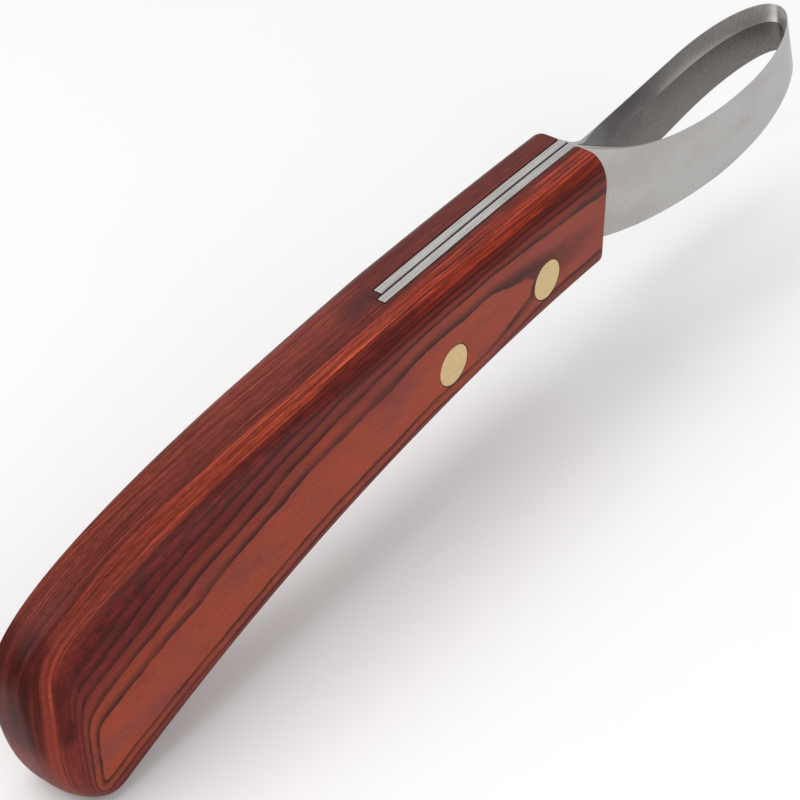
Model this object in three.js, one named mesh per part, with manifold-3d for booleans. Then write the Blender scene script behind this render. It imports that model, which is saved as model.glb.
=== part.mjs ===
// A loop hoof knife: a sprung steel strip bent into a teardrop loop, its two tangs lying side by
// side in a saw kerf of a laminated wooden handle, held by two brass two-part rivets.
// Millimetres. +Y runs from the butt to the tip of the loop, +Z towards the spine, X across.
// While it is built, y = 0 is the front face of the handle and x = 0 the plane of symmetry.

import * as THREE from 'three';
import { mergeVertices } from 'three/addons/utils/BufferGeometryUtils.js';
import Module from 'manifold-3d';

// ---- Driving dimensions: handle -------------------------------------------------------------

// Side view of the handle, as cubic curves through (y, z): spine, heel, toe and belly.
const spineFront = [0, 15.1];
const spineRear = [-89.8, 12];
const buttRear = [-149.9, -5.1];
const toe = [-134.3, -34.4];
const bellyFront = [0, -9.2];
const spineHandles = [[-30, 15.1], [-59.9, 13.4]];
const heelHandles = [[-121.8, 10.6], [-149.9, 6.6]];
const toeHandles = [[-149.9, -20.6], [-144.6, -38.75]];
const bellyHandles = [[-88.6, -15.3], [-44.3, -9.4]];

// Half the thickness: flat parallel cheeks in front. Towards the butt the section becomes a
// wedge with a full cheek: thin from the line where the spine's rounding ends, and thick from
// the line of the fullest swell down to the belly.
const cheekHalf = 9.1;
const thinHalfAtButt = 4.05;
const swellHalfAtButt = 8;
const taperStart = -53;
const taperEnd = -148;
const thinTaperPower = 1.15;
const swellTaperPower = 1.3;
const thinLine = [8.2, -1];
const swellLine = [-8.4, -24];

// Rounding between the outline and the cheeks, as a quarter ellipse: the half width of the
// band that follows the outline, and how far the rounding reaches down the cheek. The toe is
// the roundest place of the underside.
const bandFront = 4.8;
const bandSpineRear = 3.8;
const bandButt = 2.7;
const bandToe = 0.95;
const shoulderFront = 6.3;
const shoulderSpineRear = 4;
const shoulderButt = 8.7;
const shoulderToe = 3.8;
const bellyRound = 3;
const toeStation = 1.32;

const spineSteps = 22;
const heelSteps = 12;
const roundingSteps = 6;
const cheekSteps = 5;

// ---- Driving dimensions: blade --------------------------------------------------------------

// The strip is ground thinner past the neck.
const stripThickness = 1.7;
const loopThickness = 1.1;
const thinFrom = 2;
const thinFull = 14;
const slitWidth = 0.3;
const tangBottom = -7.2;
const leftTangLength = 57;
const rightTangLength = 58.6;

// Plan of the loop at its top edge, outer face: an arm curve, then half an ellipse.
const loopHalf = 8.96;
const loopWidest = 54;
const loopTip = 80.2;
const neckStraight = 3.5;
const neckBendEnd = [2.85, 9.4];
const neckBendHandle = [1.97, 6.6];
const armHandles = [[7.2, 22.5], [8.96, 39]];
const tipLean = 0.07;

// Side view of the loop: top and bottom edges against the plan's y.
const topEdgeMiddle = [42, 4.8];
const topEdgeTip = 8.6;
const topEdgeHandles = [[8, 9], [22, 4.8], [54, 4.8], [68, 6.8]];
const bottomEdgeMiddle = [39.6, -12.2];
const bottomEdgeTip = -4.4;
const bottomEdgeHandles = [[4.5, -11.3], [22, -12.2], [52, -12.2], [70, -8.5]];

const bevelHeight = 4.6;
const bevelStart = 3;
const bevelFull = 24;
const edgeLand = 0.3;

const tangSteps = 6;
const neckSteps = 8;
const armSteps = 14;
const tipSteps = 16;

// ---- Driving dimensions: kerf and rivets ----------------------------------------------------

const clearance = 0.25;
const rivetCentres = [[-19.2, -1.3], [-48.3, -2.9]];
const headRadius = 4;
const headThickness = 2;
const headRim = 0.15;
const shankRadius = 2.6;
const socketRadius = 1.75;
const pinRadius = 1.5;
const pinTip = -4.5;
const roundSegments = 40;

const tangOuter = slitWidth / 2 + stripThickness;
const kerfHalf = tangOuter + clearance;
const cutOvershoot = 3;

// ---- Solids ---------------------------------------------------------------------------------

const wasm = await Module();
wasm.setup();

// The closed mesh of a geometry, with shared corners merged, as a solid that can be cut.
function solid(geometry) {
  const bare = geometry.clone();
  bare.deleteAttribute('normal');
  bare.deleteAttribute('uv');
  const merged = mergeVertices(bare, 1e-5);
  const corners = merged.index.array;
  const triangles = [];
  for (let i = 0; i < corners.length; i += 3) {
    const [a, b, c] = corners.slice(i, i + 3);
    if (a !== b && b !== c && c !== a) {
      triangles.push(a, b, c);
    }
  }
  return new wasm.Manifold(new wasm.Mesh({
    numProp: 3,
    vertProperties: new Float32Array(merged.attributes.position.array),
    triVerts: new Uint32Array(triangles),
  }));
}

// The geometry of a solid.
function geometryOf(body) {
  const mesh = body.getMesh();
  const geometry = new THREE.BufferGeometry();
  geometry.setAttribute('position', new THREE.BufferAttribute(mesh.vertProperties, 3));
  geometry.setIndex(new THREE.BufferAttribute(mesh.triVerts, 1));
  return geometry;
}

// A skin over closed rings of equal size. The first end is covered from its middle, and so is
// the last, unless its ring is folded flat and so closed by itself.
function loft(rings, lastIsFolded) {
  const size = rings[0].length;
  const positions = [];
  const index = [];
  for (const ring of rings) {
    for (const corner of ring) {
      positions.push(corner.x, corner.y, corner.z);
    }
  }
  for (let r = 0; r + 1 < rings.length; r += 1) {
    for (let i = 0; i < size; i += 1) {
      const a = r * size + i;
      const b = r * size + (i + 1) % size;
      index.push(a, b + size, b, a, a + size, b + size);
    }
  }
  for (const end of lastIsFolded ? [0] : [0, rings.length - 1]) {
    const middle = new THREE.Vector3();
    for (const corner of rings[end]) {
      middle.addScaledVector(corner, 1 / size);
    }
    const centre = positions.length / 3;
    positions.push(middle.x, middle.y, middle.z);
    for (let i = 0; i < size; i += 1) {
      const a = end * size + i;
      const b = end * size + (i + 1) % size;
      if (end === 0) {
        index.push(centre, a, b);
      } else {
        index.push(centre, b, a);
      }
    }
  }
  const geometry = new THREE.BufferGeometry();
  geometry.setAttribute('position', new THREE.Float32BufferAttribute(positions, 3));
  geometry.setIndex(index);
  return geometry;
}

function vector(pair) {
  return new THREE.Vector2(pair[0], pair[1]);
}

function cubic(start, handles, end) {
  return new THREE.CubicBezierCurve(vector(start), vector(handles[0]), vector(handles[1]), vector(end));
}

function mix(from, to, share) {
  return THREE.MathUtils.lerp(from, to, share);
}

// A round bar along X between two places, at (y, z).
function bar(radius, fromX, toX, centre) {
  const geometry = new THREE.CylinderGeometry(radius, radius, toX - fromX, roundSegments);
  geometry.rotateZ(Math.PI / 2);
  geometry.translate((fromX + toX) / 2, centre[0], centre[1]);
  return solid(geometry);
}

// ---- Handle ---------------------------------------------------------------------------------

const spineCurve = cubic(spineFront, spineHandles, spineRear);
const heelCurve = cubic(spineRear, heelHandles, buttRear);
const toeCurve = cubic(buttRear, toeHandles, toe);
const bellyCurve = cubic(toe, bellyHandles, bellyFront);

// Half the thickness of the handle at a place (y, z) of the side view.
function halfThickness(place) {
  const taper = THREE.MathUtils.clamp((place.x - taperStart) / (taperEnd - taperStart), 0, 1.05);
  const thin = mix(cheekHalf, thinHalfAtButt, taper ** thinTaperPower);
  const swell = mix(cheekHalf, swellHalfAtButt, taper ** swellTaperPower);
  const thinZ = mix(thinLine[0], thinLine[1], taper);
  const swellZ = mix(swellLine[0], swellLine[1], taper);
  const below = THREE.MathUtils.clamp((thinZ - place.y) / (thinZ - swellZ), 0, 1);
  return mix(swell, thin, (1 - below) ** 2);
}

// A point of the side view with its outward normal and the rounding there. Station 0 is the
// front face, station 1 the end of the spine or of the belly, and station 2 the rear of the
// butt.
function topEdgeAt(station) {
  const onSpine = station <= 1;
  const curve = onSpine ? spineCurve : heelCurve;
  const share = onSpine ? station : station - 1;
  const heel = THREE.MathUtils.smoothstep(station, 1, 2);
  const along = Math.min(station, 1);
  return {
    point: curve.getPoint(share),
    normal: outward(curve, share),
    band: mix(mix(bandFront, bandSpineRear, along), bandButt, heel),
    depth: mix(mix(shoulderFront, shoulderSpineRear, along), shoulderButt, heel),
  };
}

function bottomEdgeAt(station) {
  const onBelly = station <= 1;
  const curve = onBelly ? bellyCurve : toeCurve;
  const share = onBelly ? 1 - station : 2 - station;
  const toward = THREE.MathUtils.smoothstep(station, 1, toeStation);
  const beyond = THREE.MathUtils.smoothstep(station, toeStation, 2);
  const point = curve.getPoint(share);
  const normal = outward(curve, share);
  const cheek = halfThickness(point.clone().addScaledVector(normal, -bellyRound));
  return {
    point,
    normal,
    band: mix(mix(cheek - bellyRound, bandToe, toward), bandButt, beyond),
    depth: mix(mix(bellyRound, shoulderToe, toward), shoulderButt, beyond),
  };
}

// The exact direction of a cubic curve, turned to point out of the handle.
function outward(curve, share) {
  const rest = 1 - share;
  const direction = curve.v1.clone().sub(curve.v0).multiplyScalar(rest * rest);
  direction.add(curve.v2.clone().sub(curve.v1).multiplyScalar(2 * rest * share));
  direction.add(curve.v3.clone().sub(curve.v2).multiplyScalar(share * share));
  return new THREE.Vector2(direction.y, -direction.x).normalize();
}

// Half of a rounded edge, from the middle plane to the cheek.
function rounding(edge) {
  const corners = [];
  for (let i = 0; i <= roundingSteps; i += 1) {
    const angle = (i / roundingSteps) * Math.PI / 2;
    const inset = edge.depth * (1 - Math.cos(angle));
    const place = edge.point.clone().addScaledVector(edge.normal, -inset);
    const across = mix(edge.band, halfThickness(place), Math.sin(angle));
    corners.push(new THREE.Vector3(across, place.x, place.y));
  }
  return corners;
}

// One closed section of the handle, starting at the spine and going down the right cheek.
function handleSection(station) {
  const top = rounding(topEdgeAt(station));
  const bottom = rounding(bottomEdgeAt(station)).reverse();
  const upper = top[top.length - 1];
  const lower = bottom[0];
  const right = [...top];
  for (let i = 1; i < cheekSteps; i += 1) {
    const place = upper.clone().lerp(lower, i / cheekSteps);
    place.x = halfThickness(new THREE.Vector2(place.y, place.z));
    right.push(place);
  }
  right.push(...bottom);
  const left = right.map((corner) => new THREE.Vector3(-corner.x, corner.y, corner.z));
  return [...right, ...left.reverse()];
}

// The kerf in plan: open at the front, and a little longer for the right tang.
function kerf() {
  const leftEnd = -leftTangLength - clearance;
  const rightEnd = -rightTangLength - clearance;
  const outline = new THREE.Shape([
    new THREE.Vector2(-kerfHalf, cutOvershoot),
    new THREE.Vector2(-kerfHalf, leftEnd),
    new THREE.Vector2(0, leftEnd),
    new THREE.Vector2(0, rightEnd),
    new THREE.Vector2(kerfHalf, rightEnd),
    new THREE.Vector2(kerfHalf, cutOvershoot),
  ]);
  const depth = spineFront[1] - tangBottom + clearance + cutOvershoot;
  const geometry = new THREE.ExtrudeGeometry(outline, { depth, bevelEnabled: false });
  geometry.translate(0, 0, tangBottom - clearance);
  return solid(geometry);
}

function handleGeometry() {
  const rings = [];
  for (let i = 0; i < spineSteps; i += 1) {
    rings.push(handleSection(i / spineSteps));
  }
  for (let i = 0; i <= heelSteps; i += 1) {
    rings.push(handleSection(1 + Math.sin((i / heelSteps) * Math.PI / 2)));
  }
  let body = solid(loft(rings, true));
  body = body.subtract(kerf());
  for (const centre of rivetCentres) {
    const seat = cheekHalf - headThickness - clearance;
    const outside = cheekHalf + cutOvershoot;
    body = body.subtract(bar(shankRadius + clearance, -outside, outside, centre));
    body = body.subtract(bar(headRadius + headRim, seat, outside, centre));
    body = body.subtract(bar(headRadius + headRim, -outside, -seat, centre));
  }
  return geometryOf(body);
}

// ---- Blade ----------------------------------------------------------------------------------

const armCurve = cubic(neckBendEnd, armHandles, [loopHalf, loopWidest]);
const neckCurve = new THREE.QuadraticBezierCurve(
  new THREE.Vector2(tangOuter, neckStraight),
  vector(neckBendHandle),
  vector(neckBendEnd),
);
const tipCurve = new THREE.EllipseCurve(
  0, loopWidest, loopHalf, loopTip - loopWidest, 0, Math.PI / 2, false, 0,
);
const topEdge = new THREE.CurvePath();
topEdge.add(cubic(spineFront, topEdgeHandles.slice(0, 2), topEdgeMiddle));
topEdge.add(cubic(topEdgeMiddle, topEdgeHandles.slice(2), [loopTip, topEdgeTip]));
const bottomEdge = new THREE.CurvePath();
bottomEdge.add(cubic([0, tangBottom], bottomEdgeHandles.slice(0, 2), bottomEdgeMiddle));
bottomEdge.add(cubic(bottomEdgeMiddle, bottomEdgeHandles.slice(2), [loopTip, bottomEdgeTip]));

// The height of a side-view curve at a given y, found by halving.
function heightAt(path, y) {
  const part = path.curves.find((curve) => y <= curve.getPoint(1).x) ?? path.curves.at(-1);
  let low = 0;
  let high = 1;
  for (let i = 0; i < 40; i += 1) {
    const middle = (low + high) / 2;
    if (part.getPoint(middle).x < y) {
      low = middle;
    } else {
      high = middle;
    }
  }
  return part.getPoint(low).y;
}

// Stations of one arm from the end of its tang to the tip: place on the outer face in plan,
// and the inward normal there.
function armStations(tangLength) {
  const stations = [];
  const inward = new THREE.Vector2(-1, 0);
  for (let i = 0; i < tangSteps; i += 1) {
    const y = mix(-tangLength, 0, i / tangSteps);
    stations.push({ place: new THREE.Vector2(tangOuter, y), inward });
  }
  stations.push({ place: new THREE.Vector2(tangOuter, 0), inward });
  const stretches = [[neckCurve, neckSteps], [armCurve, armSteps], [tipCurve, tipSteps]];
  for (const [curve, steps] of stretches) {
    for (let i = 0; i < steps; i += 1) {
      const tangent = curve.getTangent(i / steps);
      stations.push({
        place: curve.getPoint(i / steps),
        inward: new THREE.Vector2(-tangent.y, tangent.x),
      });
    }
  }
  return stations;
}

// One section of the strip, seen along it: outer face, edge land, bevel and inner face.
function stripSection({ place, inward }, side) {
  const y = place.y;
  const inTang = y <= 0;
  const top = inTang ? heightAt(spinePath, y) : heightAt(topEdge, y);
  const bottom = inTang ? tangBottom : heightAt(bottomEdge, y);
  const bevel = THREE.MathUtils.smoothstep(y, bevelStart, bevelFull);
  const thin = THREE.MathUtils.smoothstep(y, thinFrom, thinFull);
  const thickness = mix(stripThickness, loopThickness, thin);
  const land = mix(thickness, edgeLand, bevel);
  const bevelFoot = top - Math.max(bevelHeight * bevel, 0.01);
  const corners = [
    [0, bottom],
    [0, top],
    [land, top],
    [thickness, bevelFoot],
    [thickness, bottom],
  ];
  return corners.map(([inset, z]) => {
    const drop = inTang ? 0 : (top - z) / (top - bottom);
    const plan = place.clone().addScaledVector(inward, inset);
    return new THREE.Vector3(side * plan.x, plan.y * (1 + tipLean * drop), z);
  });
}

const spinePath = new THREE.CurvePath();
spinePath.add(cubic(spineRear, [...spineHandles].reverse(), spineFront));

function bladeGeometry() {
  const right = armStations(rightTangLength).map((station) => stripSection(station, 1));
  const left = armStations(leftTangLength).map((station) => stripSection(station, -1));
  const tip = stripSection({ place: new THREE.Vector2(0, loopTip), inward: new THREE.Vector2(0, -1) }, 1);
  let body = solid(loft([...right, tip, ...left.reverse()], false));
  for (const centre of rivetCentres) {
    body = body.subtract(bar(shankRadius + clearance, -kerfHalf, kerfHalf, centre));
  }
  return geometryOf(body);
}

// ---- Rivets ---------------------------------------------------------------------------------

// A turned piece from its half profile of (radius, height), laid along X, head outwards.
function turned(profile, centre, side) {
  const geometry = new THREE.LatheGeometry(profile.map(vector), roundSegments);
  geometry.rotateZ(-side * Math.PI / 2);
  geometry.translate(0, centre[0], centre[1]);
  return geometryOf(solid(geometry));
}

const headSeat = cheekHalf - headThickness;

function pinHalf(centre) {
  const profile = [
    [0, pinTip],
    [pinRadius, pinTip],
    [pinRadius, headSeat],
    [headRadius, headSeat],
    [headRadius, cheekHalf],
    [0, cheekHalf],
  ];
  return turned(profile, centre, 1);
}

function socketHalf(centre) {
  const mouth = -(headSeat - clearance);
  const floor = -(pinTip - clearance);
  const profile = [
    [0, floor],
    [socketRadius, floor],
    [socketRadius, mouth],
    [shankRadius, mouth],
    [shankRadius, headSeat],
    [headRadius, headSeat],
    [headRadius, cheekHalf],
    [0, cheekHalf],
  ];
  return turned(profile, centre, -1);
}

// ---- Scene graph ----------------------------------------------------------------------------

function piece(name, geometry, material) {
  const mesh = new THREE.Mesh(geometry, material);
  mesh.name = name;
  return mesh;
}

function material(color, roughness, metalness) {
  return new THREE.MeshStandardMaterial({ color, roughness, metalness });
}

const woodColour = 0x8a3f33;
const steelColour = 0xb4b0ac;
const brassColour = 0xd2b987;

const knife = new THREE.Group();
knife.add(piece('handle', handleGeometry(), material(woodColour, 0.35, 0)));
knife.add(piece('blade_loop', bladeGeometry(), material(steelColour, 0.35, 1)));
const rivetPlaces = ['front', 'rear'];
rivetCentres.forEach((centre, i) => {
  const pinName = `${rivetPlaces[i]}_rivet_pin_half`;
  const socketName = `${rivetPlaces[i]}_rivet_socket_half`;
  knife.add(piece(pinName, pinHalf(centre), material(brassColour, 0.4, 1)));
  knife.add(piece(socketName, socketHalf(centre), material(brassColour, 0.4, 1)));
});

// The origin is the middle of the bottom of the whole knife's box.
const extent = new THREE.Box3().setFromObject(knife);
const middle = extent.getCenter(new THREE.Vector3());
knife.position.set(-middle.x, -middle.y, -extent.min.z);

export default knife;
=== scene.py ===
from math import cos, exp, pi, radians, sin

import bmesh
import bpy
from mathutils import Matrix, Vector, noise


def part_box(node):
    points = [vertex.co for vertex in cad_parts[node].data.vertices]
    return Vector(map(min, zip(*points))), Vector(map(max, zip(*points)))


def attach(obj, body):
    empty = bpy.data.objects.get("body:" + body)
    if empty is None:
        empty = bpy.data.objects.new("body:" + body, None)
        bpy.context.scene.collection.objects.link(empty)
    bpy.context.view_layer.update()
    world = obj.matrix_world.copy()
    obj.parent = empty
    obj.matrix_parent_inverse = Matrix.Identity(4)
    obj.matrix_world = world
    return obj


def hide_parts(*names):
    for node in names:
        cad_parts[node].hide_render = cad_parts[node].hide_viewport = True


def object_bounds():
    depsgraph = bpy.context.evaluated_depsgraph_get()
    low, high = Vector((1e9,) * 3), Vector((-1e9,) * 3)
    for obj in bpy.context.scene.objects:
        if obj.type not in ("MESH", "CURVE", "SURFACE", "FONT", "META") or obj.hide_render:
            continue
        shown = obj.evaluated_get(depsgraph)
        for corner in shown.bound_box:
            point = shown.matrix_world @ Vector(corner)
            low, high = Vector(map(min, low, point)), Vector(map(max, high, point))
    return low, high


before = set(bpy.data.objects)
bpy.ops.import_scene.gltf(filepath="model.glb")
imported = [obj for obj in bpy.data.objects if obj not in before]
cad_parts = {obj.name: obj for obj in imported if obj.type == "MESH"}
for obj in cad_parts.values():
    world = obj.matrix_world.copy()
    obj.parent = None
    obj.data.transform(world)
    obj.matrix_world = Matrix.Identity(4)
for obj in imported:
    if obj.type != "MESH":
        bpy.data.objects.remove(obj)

cad_low, cad_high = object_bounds()

# A loop hoof knife: a laminated wooden handle, a steel strip bent into a loop whose two tangs
# lie in a kerf of the handle, and two brass two-part rivets. Shapes are worked out in
# millimetres with y = 0 on the handle's front face, x = 0 on the plane of symmetry and +Z
# towards the spine, then moved into the frame.

MM = 0.001
RIVET_CENTRES = {"front": (-19.2, -1.3), "rear": (-48.3, -2.9)}
_, handle_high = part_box("handle")
rivet_low, rivet_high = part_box("front_rivet_pin_half")
shift = Vector((
    0,
    handle_high.y,
    (rivet_low.z + rivet_high.z) / 2 - RIVET_CENTRES["front"][1] * MM,
))


def in_frame(x, y, z):
    """A place given in millimetres, as metres in the frame."""
    return Vector((x, y, z)) * MM + shift


# ---- Small sums ------------------------------------------------------------------------------


def mix(start, end, share):
    return start + (end - start) * share


def clamp(value, low=0.0, high=1.0):
    return max(low, min(high, value))


def smoothstep(value, low, high):
    share = clamp((value - low) / (high - low))
    return share * share * (3 - 2 * share)


HALVINGS = 40
SEED_STEPS = (7.3, 1.9)


class Cubic:
    """A cubic curve given by its ends and their handles, as pairs, most often (y, z)."""

    def __init__(self, start, handles, end):
        self.points = [Vector(pair) for pair in (start, *handles, end)]

    def at(self, share):
        a, b, c, d = self.points
        rest = 1 - share
        return (
            a * rest ** 3 + b * 3 * rest * rest * share
            + c * 3 * rest * share * share + d * share ** 3
        )

    def direction(self, share):
        a, b, c, d = self.points
        rest = 1 - share
        run = (b - a) * rest * rest + (c - b) * 2 * rest * share + (d - c) * share * share
        return run.normalized()

    def height(self, y):
        """The z where the curve passes a given y, found by halving. The curve runs towards +Y."""
        low, high = 0.0, 1.0
        for _ in range(HALVINGS):
            middle = (low + high) / 2
            if self.at(middle).x < y:
                low = middle
            else:
                high = middle
        return self.at(low).y


def wander(value, seed, pitch):
    """A smooth random number from -1 to 1 that changes over the given distance."""
    return noise.noise(Vector((value / pitch, *(seed * step for step in SEED_STEPS))))


# ---- Meshes ----------------------------------------------------------------------------------

MERGE_DISTANCE = 1e-5
ROUND_SEGMENTS = 96


def loft(rings, last_is_folded):
    """A closed bmesh skin over rings of equal size, in millimetres.

    A folded last ring lies flat on itself, so it needs no face to close it.
    """
    mesh = bmesh.new()
    rows = [[mesh.verts.new(corner) for corner in ring] for ring in rings]
    size = len(rings[0])
    for row, after in zip(rows, rows[1:]):
        for i in range(size):
            k = (i + 1) % size
            mesh.faces.new((row[i], after[i], after[k], row[k]))
    mesh.faces.new(rows[0])
    if not last_is_folded:
        mesh.faces.new(list(reversed(rows[-1])))
    bmesh.ops.remove_doubles(mesh, verts=mesh.verts, dist=MERGE_DISTANCE)
    bmesh.ops.recalc_face_normals(mesh, faces=mesh.faces)
    return mesh


def turned(profile, centre):
    """A closed bmesh turned round a line along X through the centre, which is a pair (y, z).

    The profile's pairs (radius, x) start and end on the line.
    """
    mesh = bmesh.new()
    first = mesh.verts.new((profile[0][1], 0, 0))
    last = mesh.verts.new((profile[-1][1], 0, 0))
    rows = []
    for radius, x in profile[1:-1]:
        row = []
        for i in range(ROUND_SEGMENTS):
            angle = 2 * pi * i / ROUND_SEGMENTS
            row.append(mesh.verts.new((x, radius * cos(angle), radius * sin(angle))))
        rows.append(row)
    for i in range(ROUND_SEGMENTS):
        k = (i + 1) % ROUND_SEGMENTS
        mesh.faces.new((first, rows[0][i], rows[0][k]))
        mesh.faces.new((last, rows[-1][k], rows[-1][i]))
        for row, after in zip(rows, rows[1:]):
            mesh.faces.new((row[i], after[i], after[k], row[k]))
    bmesh.ops.recalc_face_normals(mesh, faces=mesh.faces)
    bmesh.ops.translate(mesh, verts=mesh.verts, vec=(0, *centre))
    return mesh


def made_object(name, mesh):
    data = bpy.data.meshes.new(name)
    mesh.to_mesh(data)
    mesh.free()
    made = bpy.data.objects.new(name, data)
    bpy.context.scene.collection.objects.link(made)
    return made


def cut(target, cutter):
    """Takes the cutter's solid out of the target, and removes the cutter."""
    modifier = target.modifiers.new("cut", "BOOLEAN")
    modifier.operation = "DIFFERENCE"
    modifier.solver = "EXACT"
    modifier.object = cutter
    evaluated = target.evaluated_get(bpy.context.evaluated_depsgraph_get())
    target.data = bpy.data.meshes.new_from_object(evaluated)
    target.modifiers.remove(modifier)
    bpy.data.objects.remove(cutter)


def finish_piece(made, material, sharp_from, slot, *nodes):
    """Moves a piece from millimetres into the frame and gives it shading, a material and a body.

    The smooth toe would dip a hair below the faceted one, so it stops at the floor of the box.
    """
    for vertex in made.data.vertices:
        place = in_frame(*vertex.co)
        place.z = max(place.z, cad_low.z)
        vertex.co = place
    made.data.shade_smooth()
    made.data.set_sharp_from_angle(angle=radians(sharp_from))
    made.data.materials.clear()
    made.data.materials.append(material)
    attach(made, "root")
    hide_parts(*nodes)


# ---- Handle shape ----------------------------------------------------------------------------

SPINE = Cubic((0, 15.1), ((-30, 15.1), (-59.9, 13.4)), (-89.8, 12))
HEEL = Cubic((-89.8, 12), ((-121.8, 10.6), (-149.9, 6.6)), (-149.9, -5.1))
TOE = Cubic((-149.9, -5.1), ((-149.9, -20.6), (-144.6, -38.75)), (-134.3, -34.4))
BELLY = Cubic((-134.3, -34.4), ((-88.6, -15.3), (-44.3, -9.4)), (0, -9.2))
SPINE_FORWARD = Cubic((-89.8, 12), ((-59.9, 13.4), (-30, 15.1)), (0, 15.1))

CHEEK_HALF = 9.1
THIN_HALF_AT_BUTT = 4.05
SWELL_HALF_AT_BUTT = 8
TAPER_START = -53
TAPER_END = -148
TAPER_LIMIT = 1.05
THIN_TAPER_POWER = 1.15
SWELL_TAPER_POWER = 1.3
# The cheek is thinnest above the first line and fullest below the second. Each line is given by
# its height in front and at the butt.
THIN_LINE = (8.2, -1)
SWELL_LINE = (-8.4, -24)

BAND_FRONT = 4.8
BAND_SPINE_REAR = 3.8
BAND_BUTT = 2.7
BAND_TOE = 0.95
SHOULDER_FRONT = 6.3
SHOULDER_SPINE_REAR = 4
SHOULDER_BUTT = 8.7
SHOULDER_TOE = 3.8
BELLY_ROUND = 3
TOE_STATION = 1.32
FRONT_EASE = 0.3

SPINE_STEPS = 120
HEEL_STEPS = 48
ROUNDING_STEPS = 14
CHEEK_STEPS = 26
EASE_STEPS = 3


def half_thickness(y, z):
    """Half the handle's thickness: flat in front, a full wedge towards the butt."""
    taper = clamp((y - TAPER_START) / (TAPER_END - TAPER_START), 0, TAPER_LIMIT)
    thin = mix(CHEEK_HALF, THIN_HALF_AT_BUTT, taper ** THIN_TAPER_POWER)
    swell = mix(CHEEK_HALF, SWELL_HALF_AT_BUTT, taper ** SWELL_TAPER_POWER)
    thin_z = mix(*THIN_LINE, taper)
    swell_z = mix(*SWELL_LINE, taper)
    below = clamp((thin_z - z) / (thin_z - swell_z))
    return mix(swell, thin, (1 - below) ** 2)


def outward(curve, share):
    direction = curve.direction(share)
    return Vector((direction.y, -direction.x))


def rounding(point, normal, band, depth):
    """Half of a rounded edge, from the middle plane to the cheek."""
    corners = []
    for i in range(ROUNDING_STEPS + 1):
        angle = i / ROUNDING_STEPS * pi / 2
        place = point - normal * depth * (1 - cos(angle))
        across = mix(band, half_thickness(*place), sin(angle))
        corners.append((across, place.x, place.y))
    return corners


def top_rounding(station):
    curve, share = (SPINE, station) if station <= 1 else (HEEL, station - 1)
    along = min(station, 1)
    heel = smoothstep(station, 1, 2)
    band = mix(mix(BAND_FRONT, BAND_SPINE_REAR, along), BAND_BUTT, heel)
    depth = mix(mix(SHOULDER_FRONT, SHOULDER_SPINE_REAR, along), SHOULDER_BUTT, heel)
    return rounding(curve.at(share), outward(curve, share), band, depth)


def bottom_rounding(station):
    curve, share = (BELLY, 1 - station) if station <= 1 else (TOE, 2 - station)
    toward = smoothstep(station, 1, TOE_STATION)
    beyond = smoothstep(station, TOE_STATION, 2)
    point = curve.at(share)
    normal = outward(curve, share)
    cheek = half_thickness(*(point - normal * BELLY_ROUND))
    band = mix(mix(cheek - BELLY_ROUND, BAND_TOE, toward), BAND_BUTT, beyond)
    depth = mix(mix(BELLY_ROUND, SHOULDER_TOE, toward), SHOULDER_BUTT, beyond)
    return rounding(point, normal, band, depth)


def handle_section(station):
    """One closed section of the handle, from the spine down the right cheek and back up."""
    top = top_rounding(station)
    bottom = bottom_rounding(station)[::-1]
    right = list(top)
    for i in range(1, CHEEK_STEPS):
        y = mix(top[-1][1], bottom[0][1], i / CHEEK_STEPS)
        z = mix(top[-1][2], bottom[0][2], i / CHEEK_STEPS)
        right.append((half_thickness(y, z), y, z))
    right += bottom
    return right + [(-x, y, z) for x, y, z in reversed(right)]


def eased_front():
    """Rings that round over the edge of the front face."""
    section = handle_section(0)
    middle_z = (section[0][2] + section[len(section) // 2][2]) / 2
    half_height = section[0][2] - middle_z
    rings = []
    for i in range(EASE_STEPS):
        angle = i / EASE_STEPS * pi / 2
        inset = FRONT_EASE * (1 - sin(angle))
        back = FRONT_EASE * (1 - cos(angle))
        wide = 1 - inset / CHEEK_HALF
        high = 1 - inset / half_height
        rings.append([
            (x * wide, y - back, middle_z + (z - middle_z) * high) for x, y, z in section
        ])
    return rings


# ---- Blade shape -----------------------------------------------------------------------------

STRIP_THICKNESS = 1.7
LOOP_THICKNESS = 1.1
THIN_FROM = 2
THIN_FULL = 14
SLIT_WIDTH = 0.3
TANG_OUTER = SLIT_WIDTH / 2 + STRIP_THICKNESS
TANG_BOTTOM = -7.2
LEFT_TANG_LENGTH = 57
RIGHT_TANG_LENGTH = 58.6

LOOP_HALF = 8.96
LOOP_WIDEST = 54
LOOP_TIP = 80.2
NECK_STRAIGHT = 3.5
NECK_BEND_END = (2.85, 9.4)
NECK_BEND_HANDLE = (1.97, 6.6)
ARM = Cubic(NECK_BEND_END, ((7.2, 22.5), (LOOP_HALF, 39)), (LOOP_HALF, LOOP_WIDEST))
TIP_LEAN = 0.07

TOP_EDGE = (
    Cubic((0, 15.1), ((8, 9), (22, 4.8)), (42, 4.8)),
    Cubic((42, 4.8), ((54, 4.8), (68, 6.8)), (LOOP_TIP, 8.6)),
)
BOTTOM_EDGE = (
    Cubic((0, TANG_BOTTOM), ((4.5, -11.3), (22, -12.2)), (39.6, -12.2)),
    Cubic((39.6, -12.2), ((52, -12.2), (70, -8.5)), (LOOP_TIP, -4.4)),
)

BEVEL_HEIGHT = 4.6
BEVEL_START = 3
BEVEL_FULL = 24
EDGE_LAND = 0.14
CORNER_EASE = 0.12
# A quarter circle's middle lies about this share of its radius from both faces.
ROUND_SHARE = 0.3
# The outer face has corners at these shares of the strip's height.
OUTER_HEIGHTS = (0.35, 0.7)
# The bevel's height varies by this share over this many millimetres, as it's ground by hand.
HAND_GRINDING = 0.06
GRINDING_PITCH = 9

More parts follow.
